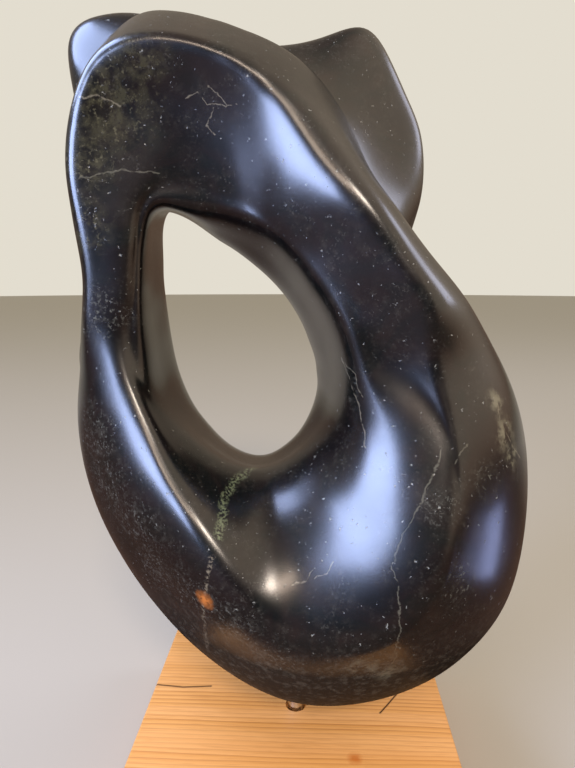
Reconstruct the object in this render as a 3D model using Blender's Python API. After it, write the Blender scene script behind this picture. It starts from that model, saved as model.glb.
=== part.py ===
"""A carved soapstone loop on a steel pin and a square wooden plinth.

Everything is in metres with +Z up. The origin is the middle of the plinth's underside,
and the pin stands on the Z axis. The viewer stands at -Y.
"""
import math

import bmesh
import bpy
from mathutils import Vector

# Driving dimensions of the plinth and the pin
PLINTH_WIDTH = 0.152
PLINTH_DEPTH = 0.152
PLINTH_THICKNESS = 0.038
PLINTH_ARRIS = 0.0012
PIN_DIAMETER = 0.008
PIN_SHOWN = 0.010
PIN_IN_STONE = 0.026
PIN_IN_PLINTH = 0.022
PIN_CHAMFER = 0.0006
PIN_CLEARANCE = 0.0003
PIN_END_CLEARANCE = 0.0008
MOUTH_CLEARANCE = 0.0012
MOUTH_DEPTH = 0.0015
ROUND_SIDES = 32

# The stone. Its guide curves are drawn in millimetres for a stone of DRAWN_HEIGHT,
# and STONE_HEIGHT sets the real size.
STONE_HEIGHT = 0.328
DRAWN_HEIGHT = 328.0
STATIONS = 50
SUBDIVISION_LEVELS = 1

# The hole's centre in the drawing, across and above the pin's top bearing point.
HOLE_ACROSS = -24.0
HOLE_ABOVE_FOOT = 176.0

# Stations stand closer together round the pointed end of the hole.
POINT_ANGLE = 121.0
POINT_SPREAD = 17.0
POINT_CROWDING = 0.45

# Each guide curve runs once round the hole as seen from the front. A key is
# (angle in degrees from +X towards +Z, radius from the hole's centre, depth away from the viewer).
WAIST = (
    (4, 29, 18), (43, 27.5, 18), (80, 34.5, 18), (105, 49, 18), (118, 67, 18), (122, 71.5, 18),
    (127, 68.5, 18), (138, 56.5, 16), (155, 46, 15), (180, 40, 15), (212, 41.5, 15), (239, 48, 15),
    (265, 57, 15), (276, 59, 15), (293, 54, 15), (309, 47.5, 16), (327, 40.5, 18), (337, 36.3, 18),
)
MOUTH = (
    (12, 43, -32.5), (40, 41, -27.5), (60, 44, -23), (78, 49, -18.5), (96, 55, -16.5), (108, 60, -17.5),
    (120, 67, -19), (133, 57, -19.5), (144, 49, -20.5), (162, 42, -22), (186, 39, -22), (215, 42, -21),
    (248, 47, -20), (280, 57, -22.5), (297, 56.5, -26.5), (322, 54, -31.5), (347, 48, -34.5),
)
LIP = (
    (354, 66, -41.5), (14, 58.5, -39), (31, 55, -37), (45, 55, -35), (58, 56, -32), (71, 59, -28),
    (86, 66, -21.5), (101, 75, -20.5), (111, 82, -21.5), (123, 75.5, -23.5), (136, 62, -25.5),
    (152, 52, -26.5), (170, 50, -27.5), (189, 48, -30.5), (207, 46.5, -34), (225, 48.5, -39),
    (243, 55.5, -46.5), (259, 66, -54.5), (270, 78.5, -59.5), (281, 96.5, -63.5), (290, 105, -66.5),
    (301, 109.5, -68.5), (316, 103, -66), (335, 85.5, -53.5),
)
CREST = (
    (357, 83.5, -43.5), (13, 82.5, -43), (24, 79, -42), (34, 78, -40.5), (46, 79.5, -39), (55, 82, -37),
    (62, 86, -34.3), (69, 91.5, -31.8), (76, 98, -29.6), (83, 105, -28), (91, 112.3, -26.7),
    (99, 119.3, -25.8), (106, 124, -25.3), (111, 125, -25), (115.5, 123.5, -24.5), (121, 117, -24.5),
    (132, 99.5, -24.5), (142, 82, -25), (154, 69.5, -25.5), (170, 65, -25.5), (188, 66, -24.5),
    (200, 70.5, -24.5), (215, 77, -26), (230, 86, -30), (250, 99, -38.5), (264, 113, -47),
    (275, 125, -53.5), (283, 130, -57.5), (293, 131.5, -60.5), (303, 130, -62.5), (314, 123.5, -61),
    (324, 114.5, -57), (340, 97.5, -49.5),
)
RIM = (
    (4, 105.5, 0), (19, 91, 0), (33, 86, 0), (49, 90, 0), (59, 99, 0), (78, 122, 0), (90, 132, 0),
    (103, 144, 2), (108, 146.5, 4), (115, 139, 0), (124, 127, 0), (136, 103.5, 0), (152, 79.5, 0),
    (164, 72.5, 0), (178, 72, 0), (192, 76.5, 0), (215, 94, 0), (235, 113.5, 0), (249, 132.5, 0),
    (268, 163.5, 2), (278, 177.5, 3), (284, 181.5, 3), (290, 183.5, 3), (299, 183, 3), (307, 179, 3),
    (315, 172.5, 2), (331, 148.5, 0), (347, 127.5, 0),
)
GROOVE = (
    (4, 103, 16), (19, 89.5, 14), (33, 84.5, 13), (49, 89, 14), (59, 97, 15), (78, 120, 17),
    (90, 129, 17), (104, 143, 16), (109, 144, 15), (115, 134, 13), (124, 121, 12), (136, 99, 12),
    (152, 76, 12), (164, 70, 12), (178, 70, 12), (192, 75, 13), (215, 93, 16), (235, 114, 18),
    (249, 132, 20), (268, 160, 22), (290, 179, 23), (315, 170, 22), (340, 134, 19),
)
EDGE = (
    (0, 102, 36), (20, 90, 38), (32, 94, 40), (39, 109, 41), (52, 133, 42), (60, 143, 42),
    (66, 154, 41), (69, 158, 41), (74, 151, 41), (80, 143.5, 40), (90, 140, 38), (100, 148, 34),
    (109, 160, 30), (115, 165.5, 29), (119, 166, 29), (122, 161, 30), (125, 148, 32), (129, 133, 35),
    (135, 116, 38), (145, 101, 41), (155, 92, 42), (165, 89, 42), (176, 91.5, 42), (188, 96, 42),
    (200, 98, 42), (215, 99, 40), (235, 113, 38), (250, 130, 38), (268, 150, 40), (290, 165, 42),
    (315, 156, 41), (340, 126, 38),
)
BACK_CREST = (
    (0, 88, 54), (30, 85, 56), (52, 116, 59), (69, 137, 60), (90, 122, 57), (115, 147, 50), (135, 102, 54),
    (165, 78, 56), (200, 86, 56), (235, 100, 54), (268, 130, 54), (290, 144, 55), (315, 136, 55),
    (340, 108, 55),
)
BACK_FACE = (
    (0, 66, 60), (30, 62, 60), (60, 84, 66), (90, 88, 64), (115, 100, 60), (135, 80, 60), (165, 62, 62),
    (200, 68, 62), (235, 80, 62), (268, 98, 62), (290, 108, 64), (315, 98, 64), (340, 78, 62),
)
BACK_LIP = (
    (0, 46, 50), (30, 43, 50), (60, 46, 50), (80, 54, 50), (100, 66, 48), (121, 82, 44), (140, 66, 46),
    (165, 52, 48), (200, 50, 50), (240, 60, 50), (268, 74, 50), (290, 74, 52), (315, 62, 52),
    (340, 52, 52),
)

# The guides in their order round the limb, each with the swell of the skin between it and the next,
# as a share of their distance: above zero swells outwards, below zero hollows.
SECTION = (
    (WAIST, ((0, 0.0),)),
    (MOUTH, (
        (20, 0.06), (60, 0.08), (85, 0.05), (105, 0.0), (120, -0.02), (160, 0.0), (220, 0.05), (250, 0.07),
        (280, 0.09), (305, 0.08), (325, 0.08), (345, 0.06),
    )),
    (LIP, (
        (0, 0.04), (45, 0.08), (62, 0.10), (75, 0.06), (90, -0.02), (115, -0.03), (150, 0.04), (230, 0.14),
        (290, 0.11), (325, 0.09),
    )),
    (CREST, (
        (0, 0.18), (60, 0.06), (95, 0.04), (150, 0.08), (230, 0.13), (290, 0.13), (320, 0.15), (345, 0.17),
    )),
    (RIM, ((0, 0.04),)),
    (GROOVE, ((0, 0.0), (60, -0.05), (115, 0.06), (165, 0.0), (270, 0.0))),
    (EDGE, ((0, 0.12),)),
    (BACK_CREST, ((0, 0.05),)),
    (BACK_FACE, ((0, 0.10),)),
    (BACK_LIP, ((0, 0.08),)),
)

# How sharp the carved ridges are, from 0 to 1, by angle.
CREST_SHARPNESS = (
    (50, 0), (66, 0.05), (78, 0.2), (90, 0.4), (104, 0.45), (120, 0.35), (140, 0.25), (165, 0.3),
    (185, 0.1), (200, 0),
)
RIM_SHARPNESS = (
    (20, 0.0), (35, 0.5), (60, 0.7), (85, 0.6), (105, 0.3), (120, 0.5), (160, 0.2), (210, 0.0),
)
CREST_PLACE = 3
RIM_PLACE = 4


def periodic(keys, angle):
    """The values at an angle of a smooth closed curve through keys of (angle, value, ...)."""
    lap = sorted((key[0] % 360.0, *key[1:]) for key in keys)
    if len(lap) == 1:
        return lap[0][1:]
    laps = [(key[0] + turn, *key[1:]) for turn in (-360.0, 0.0, 360.0) for key in lap]
    angle %= 360.0
    after = next(n for n, key in enumerate(laps) if key[0] > angle)
    before, left, right, beyond = laps[after - 2 : after + 2]
    span = right[0] - left[0]
    t = (angle - left[0]) / span
    values = []
    for part in range(1, len(left)):
        slope_left = (right[part] - before[part]) / (right[0] - before[0]) * span
        slope_right = (beyond[part] - left[part]) / (beyond[0] - left[0]) * span
        values.append(
            (2 * t**3 - 3 * t**2 + 1) * left[part]
            + (t**3 - 2 * t**2 + t) * slope_left
            + (3 * t**2 - 2 * t**3) * right[part]
            + (t**3 - t**2) * slope_right
        )
    return tuple(values)


def station_angles():
    """The stations' angles in degrees, closer together round the hole's pointed end."""
    fine = 3600
    weights = []
    for n in range(fine):
        away = (n * 360.0 / fine - POINT_ANGLE + 180.0) % 360.0 - 180.0
        weights.append(1.0 / (1.0 - POINT_CROWDING * math.exp(-((away / POINT_SPREAD) ** 2))))
    step = sum(weights) / STATIONS
    angles = []
    travelled = 0.0
    for n, weight in enumerate(weights):
        if travelled >= step * len(angles) and len(angles) < STATIONS:
            angles.append(n * 360.0 / fine)
        travelled += weight
    return angles


def section_at(angle):
    """The section's points at an angle, as (radius, depth) in the drawing's millimetres."""
    corners = [periodic(guide, angle) for guide, swell in SECTION]
    points = []
    for n, (guide, swell) in enumerate(SECTION):
        radius, depth = corners[n]
        next_radius, next_depth = corners[(n + 1) % len(corners)]
        points.append((radius, depth))
        amount = periodic(swell, angle)[0]
        points.append(
            (
                (radius + next_radius) / 2.0 + amount * (next_depth - depth),
                (depth + next_depth) / 2.0 - amount * (next_radius - radius),
            )
        )
    return points


def lifted(row, sharpness):
    """A closed row of points moved out so that the smoothed skin passes through their old places."""
    count = len(row)
    moved = []
    for n, point in enumerate(row):
        chord = (row[n - 1] + row[(n + 1) % count]) / 2.0
        moved.append(point + (point - chord) * 0.5 * (1.0 - sharpness[n]))
    return moved


def stone_points():
    """The stone's cage as rows of points, one row for each station."""
    scale = STONE_HEIGHT / DRAWN_HEIGHT
    foot = PLINTH_THICKNESS + PIN_SHOWN
    rows = []
    sharp_rows = []
    for angle in station_angles():
        turn = math.radians(angle)
        row = []
        for radius, depth in section_at(angle):
            across = (HOLE_ACROSS + radius * math.cos(turn)) * scale
            up = (HOLE_ABOVE_FOOT + radius * math.sin(turn)) * scale
            row.append(Vector((across, depth * scale, foot + up)))
        sharpness = [0.0] * len(row)
        sharpness[2 * CREST_PLACE] = max(0.0, periodic(CREST_SHARPNESS, angle)[0])
        sharpness[2 * RIM_PLACE] = max(0.0, periodic(RIM_SHARPNESS, angle)[0])
        rows.append(lifted(row, sharpness))
        sharp_rows.append(sharpness)
    smooth = [0.0] * len(rows)
    columns = [lifted(list(column), smooth) for column in zip(*rows)]
    return [list(row) for row in zip(*columns)], sharp_rows


def material(name, colour, roughness, metallic):
    made = bpy.data.materials.new(name)
    made.use_nodes = True
    shader = made.node_tree.nodes["Principled BSDF"]
    shader.inputs["Base Color"].default_value = (*colour, 1.0)
    shader.inputs["Roughness"].default_value = roughness
    shader.inputs["Metallic"].default_value = metallic
    made.diffuse_color = (*colour, 1.0)
    return made


def add_object(name, bm, finish):
    mesh = bpy.data.meshes.new(name)
    bm.to_mesh(mesh)
    bm.free()
    piece = bpy.data.objects.new(name, mesh)
    bpy.context.scene.collection.objects.link(piece)
    if finish:
        mesh.materials.append(finish)
    return piece


def add_cutter(name, diameter, bottom, top, target):
    """A hidden cylinder on the Z axis that bores the target."""
    bm = bmesh.new()
    bmesh.ops.create_cone(
        bm,
        cap_ends=True,
        segments=ROUND_SIDES,
        radius1=diameter / 2.0,
        radius2=diameter / 2.0,
        depth=top - bottom,
    )
    bmesh.ops.translate(bm, vec=(0.0, 0.0, (top + bottom) / 2.0), verts=bm.verts)
    cutter = add_object(name, bm, None)
    cutter.hide_render = True
    cutter.display_type = "WIRE"
    cut = target.modifiers.new(name, "BOOLEAN")
    cut.object = cutter
    cut.operation = "DIFFERENCE"
    cut.solver = "EXACT"
    return cutter


def make_stone():
    """A ring of quads spun round the hole's axis, then drawn out to the guide curves."""
    rows, sharp_rows = stone_points()
    places = len(rows[0])
    bm = bmesh.new()
    ring = bmesh.ops.create_circle(bm, segments=places, radius=0.25)["verts"]
    bmesh.ops.translate(bm, vec=(1.0, 0.0, 0.0), verts=ring)
    bmesh.ops.spin(
        bm,
        geom=bm.verts[:] + bm.edges[:],
        cent=(0.0, 0.0, 0.0),
        axis=(0.0, 1.0, 0.0),
        angle=-2.0 * math.pi,
        steps=STATIONS,
        use_merge=True,
    )
    address = {}
    for vert in bm.verts:
        turn = math.atan2(vert.co.z, vert.co.x) % (2.0 * math.pi)
        reach = math.hypot(vert.co.x, vert.co.z) - 1.0
        around = math.atan2(-vert.co.y, -reach) % (2.0 * math.pi)
        station = round(turn / (2.0 * math.pi) * STATIONS) % STATIONS
        place = round(around / (2.0 * math.pi) * places) % places
        address[vert] = (station, place)
    crease = bm.edges.layers.float.new("crease_edge")
    for edge in bm.edges:
        (station, place), (other_station, other_place) = (address[vert] for vert in edge.verts)
        if place == other_place:
            edge[crease] = (sharp_rows[station][place] + sharp_rows[other_station][place]) / 2.0
    for vert, (station, place) in address.items():
        vert.co = rows[station][place]
    bmesh.ops.recalc_face_normals(bm, faces=bm.faces)
    stone = add_object("carved_stone", bm, material("soapstone", (0.030, 0.028, 0.027), 0.3, 0.0))
    smooth = stone.modifiers.new("smooth_skin", "SUBSURF")
    smooth.levels = SUBDIVISION_LEVELS
    smooth.render_levels = SUBDIVISION_LEVELS
    foot = PLINTH_THICKNESS + PIN_SHOWN
    add_cutter(
        "stone_bore",
        PIN_DIAMETER + 2.0 * PIN_CLEARANCE,
        PLINTH_THICKNESS - PLINTH_ARRIS,
        foot + PIN_IN_STONE + PIN_END_CLEARANCE,
        stone,
    )
    stone.data.shade_smooth()
    return stone


def make_pin():
    bottom = PLINTH_THICKNESS - PIN_IN_PLINTH
    top = PLINTH_THICKNESS + PIN_SHOWN + PIN_IN_STONE
    bm = bmesh.new()
    bmesh.ops.create_cone(
        bm,
        cap_ends=True,
        segments=ROUND_SIDES,
        radius1=PIN_DIAMETER / 2.0,
        radius2=PIN_DIAMETER / 2.0,
        depth=top - bottom,
    )
    bmesh.ops.translate(bm, vec=(0.0, 0.0, (top + bottom) / 2.0), verts=bm.verts)
    rims = [edge for edge in bm.edges if abs(edge.verts[0].co.z - edge.verts[1].co.z) < PIN_CHAMFER]
    bmesh.ops.bevel(
        bm,
        geom=rims,
        offset=PIN_CHAMFER,
        offset_type="OFFSET",
        segments=1,
        profile=0.5,
        affect="EDGES",
        material=-1,
    )
    pin = add_object("steel_pin", bm, material("steel", (0.62, 0.62, 0.63), 0.18, 1.0))
    pin.data.shade_smooth()
    pin.data.set_sharp_from_angle(angle=math.radians(30.0))
    return pin


def make_plinth():
    bm = bmesh.new()
    bmesh.ops.create_cube(bm, size=1.0)
    bmesh.ops.scale(bm, vec=(PLINTH_WIDTH, PLINTH_DEPTH, PLINTH_THICKNESS), verts=bm.verts)
    bmesh.ops.translate(bm, vec=(0.0, 0.0, PLINTH_THICKNESS / 2.0), verts=bm.verts)
    bmesh.ops.bevel(
        bm,
        geom=bm.edges[:],
        offset=PLINTH_ARRIS,
        offset_type="OFFSET",
        segments=2,
        profile=0.5,
        affect="EDGES",
        material=-1,
    )
    plinth = add_object("wood_plinth", bm, material("pale_wood", (0.58, 0.36, 0.17), 0.55, 0.0))
    bore = PIN_DIAMETER + 2.0 * PIN_CLEARANCE
    bore_bottom = PLINTH_THICKNESS - PIN_IN_PLINTH - PIN_END_CLEARANCE
    add_cutter("plinth_bore", bore, bore_bottom, PLINTH_THICKNESS + PIN_SHOWN, plinth)
    mouth = PIN_DIAMETER + 2.0 * MOUTH_CLEARANCE
    mouth_bottom = PLINTH_THICKNESS - MOUTH_DEPTH
    add_cutter("plinth_bore_mouth", mouth, mouth_bottom, PLINTH_THICKNESS + PIN_SHOWN, plinth)
    return plinth


def main():
    for thing in list(bpy.data.objects):
        bpy.data.objects.remove(thing, do_unlink=True)
    make_plinth()
    make_pin()
    make_stone()


main()
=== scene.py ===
# %% [markdown]
# # A soapstone loop on a pin and a plinth
# The object is three real pieces: a loop of black soapstone carved by hand and waxed, a bright
# steel pin that holds it just clear of the wood, and a square block of pale softwood. The packed
# model gives each piece its place and size. This script dresses them: the stone gets a fine skin
# over the same guide curves, and the pin and the block get their small bevels, marks and grain.

# %% Load the frame
import math
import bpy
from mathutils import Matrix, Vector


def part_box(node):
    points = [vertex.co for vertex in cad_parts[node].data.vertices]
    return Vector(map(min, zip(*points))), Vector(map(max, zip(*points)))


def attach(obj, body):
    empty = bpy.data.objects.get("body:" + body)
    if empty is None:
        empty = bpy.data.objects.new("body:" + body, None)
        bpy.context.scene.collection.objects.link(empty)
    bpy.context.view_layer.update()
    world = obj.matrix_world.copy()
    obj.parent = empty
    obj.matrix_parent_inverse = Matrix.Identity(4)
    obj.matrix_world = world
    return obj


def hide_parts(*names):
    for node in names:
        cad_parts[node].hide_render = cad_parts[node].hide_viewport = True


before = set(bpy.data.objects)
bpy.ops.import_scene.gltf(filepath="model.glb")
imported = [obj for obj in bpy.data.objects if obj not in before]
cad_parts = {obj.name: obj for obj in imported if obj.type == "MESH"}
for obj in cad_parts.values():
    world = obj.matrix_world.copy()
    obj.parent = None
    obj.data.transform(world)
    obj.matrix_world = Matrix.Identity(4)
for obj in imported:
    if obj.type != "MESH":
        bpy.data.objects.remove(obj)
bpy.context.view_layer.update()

import bmesh
import bpy
from mathutils import Matrix, Vector

MM = 0.001

# %% [markdown]
# ## The camera
# The photograph was taken with a short lens held close to the stone, so near parts look large
# and the plinth's sides run strongly together. A lens of 27 mm on a 36 mm sensor gives that view,
# where Blender lays the sensor's width along the longer side of the picture.
# The height, distance and tilt were worked out from the plinth's two edges and its width.

# %% Camera
PLINTH_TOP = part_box("wood_plinth")[1][2]
LENS_MM = 27.0
SENSOR_MM = 36.0
CAMERA_ACROSS = 7.6 * MM
CAMERA_IN_FRONT = 262.0 * MM
CAMERA_ABOVE_PLINTH = 216.0 * MM
CAMERA_DOWN_DEG = 10.43
CAMERA_LEFT_DEG = 2.59


def make_camera():
    data = bpy.data.cameras.new("photo_camera")
    data.lens = LENS_MM
    data.sensor_width = SENSOR_MM
    data.clip_start = 0.01
    camera = bpy.data.objects.new("photo_camera", data)
    bpy.context.scene.collection.objects.link(camera)
    camera.location = (CAMERA_ACROSS, -CAMERA_IN_FRONT, PLINTH_TOP + CAMERA_ABOVE_PLINTH)
    camera.rotation_euler = (math.radians(90.0 - CAMERA_DOWN_DEG), 0.0, math.radians(CAMERA_LEFT_DEG))
    bpy.context.scene.camera = camera
    return camera


camera = make_camera()
print("camera at", tuple(round(value, 4) for value in camera.location))

# %% [markdown]
# ## Colour and node helpers
# Colours are written as sRGB hex, as a maker would pick them from a swatch, and one function turns
# them to the linear values that the shader wants. One small function adds a node with its settings
# and links, so a material reads as a list of what it is made of. Sockets are named or numbered. A
# Map Range takes its value at 0, the range it comes from at 1 and 2, and the range it goes to at 3
# and 4. A colour Mix takes its share at 0 and its two colours at 6 and 7.

# %% Helpers


def linear(hex_colour):
    """An sRGB hex colour as linear red, green, blue and alpha."""
    parts = [int(hex_colour[n : n + 2], 16) / 255.0 for n in (1, 3, 5)]
    return (*[p / 12.92 if p <= 0.04045 else ((p + 0.055) / 1.055) ** 2.4 for p in parts], 1.0)


def add(tree, kind, inputs, out=None, stops=(), **settings):
    """Adds a node and gives it, or its output numbered out.

    Inputs are sockets to link, hex colours or values, settings are the node's properties, and stops
    are a colour ramp's (position, hex colour) pairs.
    """
    node = tree.nodes.new(kind)
    for name, value in settings.items():
        setattr(node, name, value)
    for key, value in inputs.items():
        if isinstance(value, bpy.types.NodeSocket):
            tree.links.new(value, node.inputs[key])
        elif isinstance(value, str):
            node.inputs[key].default_value = linear(value)
        else:
            node.inputs[key].default_value = value
    for n, (position, colour) in enumerate(stops):
        if n >= len(node.color_ramp.elements):
            node.color_ramp.elements.new(position)
        node.color_ramp.elements[n].position = position
        node.color_ramp.elements[n].color = linear(colour)
    return node if out is None else node.outputs[out]


def new_material(name):
    """A material with only a Principled shader, its output, and the point on the piece in millimetres."""
    material = bpy.data.materials.new(name)
    material.use_nodes = True
    tree = material.node_tree
    tree.nodes.clear()
    shader = add(tree, "ShaderNodeBsdfPrincipled", {})
    add(tree, "ShaderNodeOutputMaterial", {"Surface": shader.outputs["BSDF"]})
    metres = add(tree, "ShaderNodeTexCoord", {}, out="Object")
    point = add(tree, "ShaderNodeVectorMath", {0: metres, "Scale": 1.0 / MM}, out=0, operation="SCALE")
    return material, tree, shader, point


def laid_over(tree, under, colour, shares, strength):
    """A colour laid over another at a strength, where every one of the shares is one."""
    amount = strength
    for share in shares:
        amount = add(tree, "ShaderNodeMath", {0: amount, 1: share}, out=0, operation="MULTIPLY")
    return add(tree, "ShaderNodeMix", {0: amount, 6: under, 7: colour}, out=2, data_type="RGBA")


def new_piece(name, bm, material):
    """An object at the origin from a bmesh, with its normals outward and its finish."""
    bmesh.ops.recalc_face_normals(bm, faces=bm.faces)
    mesh = bpy.data.meshes.new(name)
    bm.to_mesh(mesh)
    bm.free()
    if material:
        mesh.materials.append(material)
    piece = bpy.data.objects.new(name, mesh)
    bpy.context.scene.collection.objects.link(piece)
    return piece


print("middle grey #808080 in linear light:", [round(value, 4) for value in linear("#808080")])

# %% [markdown]
# ## Sizes
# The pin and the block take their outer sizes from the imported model, so they stay with it. The
# clearances are what a maker leaves: a close fit for the rod, and a bore a touch deeper than it.

# %% Sizes
PIN_LOW, PIN_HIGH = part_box("steel_pin")
PIN_DIAMETER = PIN_HIGH[0] - PIN_LOW[0]
PIN_BOTTOM = PIN_LOW[2]
PIN_TOP = PIN_HIGH[2]
PIN_SIDES = 64
PIN_BEVEL = 0.6 * MM
PIN_CLEARANCE = 0.3 * MM
BORE_MOUTH_CLEARANCE = 1.2 * MM
BORE_MOUTH_DEPTH = 1.5 * MM
PLINTH_LOW, PLINTH_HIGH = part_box("wood_plinth")
PLINTH_WIDTH = PLINTH_HIGH[0] - PLINTH_LOW[0]
PLINTH_DEPTH = PLINTH_HIGH[1] - PLINTH_LOW[1]
PLINTH_ARRIS = 1.2 * MM
print("pin", round(PIN_DIAMETER / MM, 2), "mm across and", round((PIN_TOP - PIN_BOTTOM) / MM, 2), "mm long")

# %% [markdown]
# ## The floor
# The camera sees a plain pale floor. The stone's deep blacks come from a brown floor that it
# mirrors, so near the stone and in front of it the paper turns brown, for mirrored rays only.

# %% Floor
# The floor is a wide disc, with its radius in metres.
FLOOR_RADIUS = 9.0
FLOOR_SIDES = 96
FLOOR_COLOUR = "#aca599"
MIRRORED_FLOOR_COLOUR = "#5a4130"

# The mirrored floor turns from brown to pale between these places behind the pin, in millimetres.
BROWN_UNTIL = 250.0
PALE_FROM = 700.0


def make_floor():
    """A sheet of plain paper, with no shine of its own."""
    bm = bmesh.new()
    bmesh.ops.create_circle(bm, cap_ends=True, segments=FLOOR_SIDES, radius=FLOOR_RADIUS)
    material, tree, shader, point = new_material("floor_paper")
    mirrored = add(tree, "ShaderNodeLightPath", {}, out="Is Glossy Ray")
    depth = add(tree, "ShaderNodeSeparateXYZ", {0: point}, out=1)
    brown = add(tree, "ShaderNodeMapRange", {0: depth, 1: PALE_FROM, 2: BROWN_UNTIL}, out=0)
    colour = laid_over(tree, FLOOR_COLOUR, MIRRORED_FLOOR_COLOUR, (brown,), mirrored)
    tree.links.new(colour, shader.inputs["Base Color"])
    shader.inputs["Roughness"].default_value = 0.9
    shader.inputs["Specular IOR Level"].default_value = 0.2
    floor = new_piece("studio_floor", bm, material)
    return floor


floor = make_floor()
print("floor radius", FLOOR_RADIUS, "m, sides", len(floor.data.vertices))

# %% [markdown]
# ## The surroundings
# Polished black stone shows almost nothing of itself and almost everything around it. The camera
# sees a plain pale background, but the stone mirrors dim beige surroundings, redder below, brighter
# to the right and behind, and dark behind the camera.

# %% Surroundings
BACKGROUND_COLOUR = "#e6e0d2"
BACKGROUND_LIGHT = 0.97
MIRRORED_COLOUR = "#ead6bd"
MIRRORED_LOW_COLOUR = "#a06a48"
MIRRORED_LIGHT = 0.3

# The mirrored colour changes between these heights, as sines of the angle above the horizon.
LOW_UNTIL = -0.1
HIGH_FROM = 0.25

# A patch is (the direction of its middle, the cosine at its edge, the cosine where it is full).
BRIGHT_PATCH = ((0.85, -0.25, 0.47), 0.35, 1.0)
BEHIND_PATCH = ((0.1, 0.75, 0.66), 0.5, 0.95)
DARK_PATCH = ((-0.03, -0.93, 0.36), 0.74, 0.92)
BRIGHT_LIGHT = 1.4
BEHIND_LIGHT = 0.2


def patch_share(tree, direction, patch):
    """One within a patch of the surroundings, falling to zero at its edge."""
    middle, edge, full = patch
    pair = {0: direction, 1: middle}
    toward = add(tree, "ShaderNodeVectorMath", pair, out="Value", operation="DOT_PRODUCT")
    ends = {0: toward, 1: edge, 2: full}
    return add(tree, "ShaderNodeMapRange", ends, out=0, interpolation_type="SMOOTHSTEP")


def mirrored_strength(tree, direction):
    """How brightly the mirrored surroundings shine from a direction."""
    strength = MIRRORED_LIGHT
    for patch, light in ((BRIGHT_PATCH, BRIGHT_LIGHT), (BEHIND_PATCH, BEHIND_LIGHT)):
        more = {0: patch_share(tree, direction, patch), 1: light, 2: strength}
        strength = add(tree, "ShaderNodeMath", more, out=0, operation="MULTIPLY_ADD")
    dark = patch_share(tree, direction, DARK_PATCH)
    clear = add(tree, "ShaderNodeMath", {0: 1.0, 1: dark}, out=0, operation="SUBTRACT")
    return add(tree, "ShaderNodeMath", {0: strength, 1: clear}, out=0, operation="MULTIPLY")


def make_surroundings():
    """The plain background, and the dimmer surroundings that only the polished surfaces mirror."""
    world = bpy.data.worlds.new("studio")
    world.use_nodes = True
    tree = world.node_tree
    tree.nodes.clear()
    direction = add(tree, "ShaderNodeTexCoord", {}, out="Generated")
    height = add(tree, "ShaderNodeSeparateXYZ", {0: direction}, out=2)
    rise = add(tree, "ShaderNodeMapRange", {0: height, 1: LOW_UNTIL, 2: HIGH_FROM}, out=0)
    colour = laid_over(tree, MIRRORED_LOW_COLOUR, MIRRORED_COLOUR, (rise,), 1.0)
    dim_look = {"Color": colour, "Strength": mirrored_strength(tree, direction)}
    dim = add(tree, "ShaderNodeBackground", dim_look, out=0)
    paper_look = {"Color": BACKGROUND_COLOUR, "Strength": BACKGROUND_LIGHT}
    paper = add(tree, "ShaderNodeBackground", paper_look, out=0)
    mirrored = add(tree, "ShaderNodeLightPath", {}, out="Is Glossy Ray")
    chosen = add(tree, "ShaderNodeMixShader", {0: mirrored, 1: paper, 2: dim}, out=0)
    add(tree, "ShaderNodeOutputWorld", {"Surface": chosen})
    bpy.context.scene.world = world
    return world


world = make_surroundings()
print("surroundings nodes", len(world.node_tree.nodes))

# The standard view shows colours as they are written, without a film's curve.
bpy.context.scene.view_settings.view_transform = "Standard"

# %% [markdown]
# ## The soft boxes
# Each highlight is the mirror image of a soft box: a large cool one to the left lies along the dish
# and the belly, a small cool one close to the lobe is seen at the top, a weak one to the right gives
# the long edge line, and a little cool strip low on the right gives the flank. A small warm one, with
# a slim strip beside it, hangs above the camera for the round glint and the ridges.

# %% Soft boxes
# They all aim at the pin's axis, at this height in metres.
AIM_HEIGHT = 0.22

# Each is (name, distance, degrees round to the camera's right, degrees up, width, height, watts,
# colour), with its lengths in metres.
SOFT_BOXES = (
    ("cool_low", 2.0, -47.0, 17.0, 1.1, 0.72, 66.0, "#b9cdff"),
    ("cool_near", 0.34, -82.0, 48.0, 0.17, 0.15, 1.05, "#b9cdff"),
    ("edge_right", 2.0, 102.0, 31.0, 0.7, 0.8, 9.0, "#dfe4ff"),
    ("low_right", 0.38, 84.0, -27.0, 0.05, 0.13, 0.12, "#b4c4ff"),
    ("warm_lamp", 2.0, 14.0, 37.0, 0.3, 0.3, 14.0, "#fff0e0"),
    ("warm_strip", 2.0, 0.0, 36.0, 1.2, 0.2, 14.0, "#ffe6cf"),
)


def make_soft_box(name, distance, azimuth_deg, height_deg, width, height, watts, colour):
    """A rectangular light aimed at the stone's middle. Azimuth 0 is the camera's side."""
    data = bpy.data.lights.new(name, "AREA")
    data.shape = "RECTANGLE"
    data.size = width
    data.size_y = height
    data.energy = watts
    data.color = linear(colour)[:3]
    light = bpy.data.objects.new(name, data)
    bpy.context.scene.collection.objects.link(light)
    turn = math.radians(azimuth_deg)
    rise = math.radians(height_deg)
    away = Vector((math.sin(turn) * math.cos(rise), -math.cos(turn) * math.cos(rise), math.sin(rise)))
    light.location = Vector((0.0, 0.0, AIM_HEIGHT)) + distance * away
    light.rotation_euler = (-away).to_track_quat("-Z", "Y").to_euler()


for soft_box in SOFT_BOXES:
    make_soft_box(*soft_box)
print("soft boxes:", [soft_box[0] for soft_box in SOFT_BOXES])

# %% [markdown]
# ## The stone's guide curves
# A carver works a ring like this from its ridges: they draw the lip of the hole, the crest, the
# outer edge and the back edge on the block, then hollow or round the stone between them. The same
# is done here. Each guide curve runs once round the hole, and its keys give an angle, a distance
# from the hole's centre and a depth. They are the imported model's own guides, so the skin that is
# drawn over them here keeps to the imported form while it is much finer.

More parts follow.
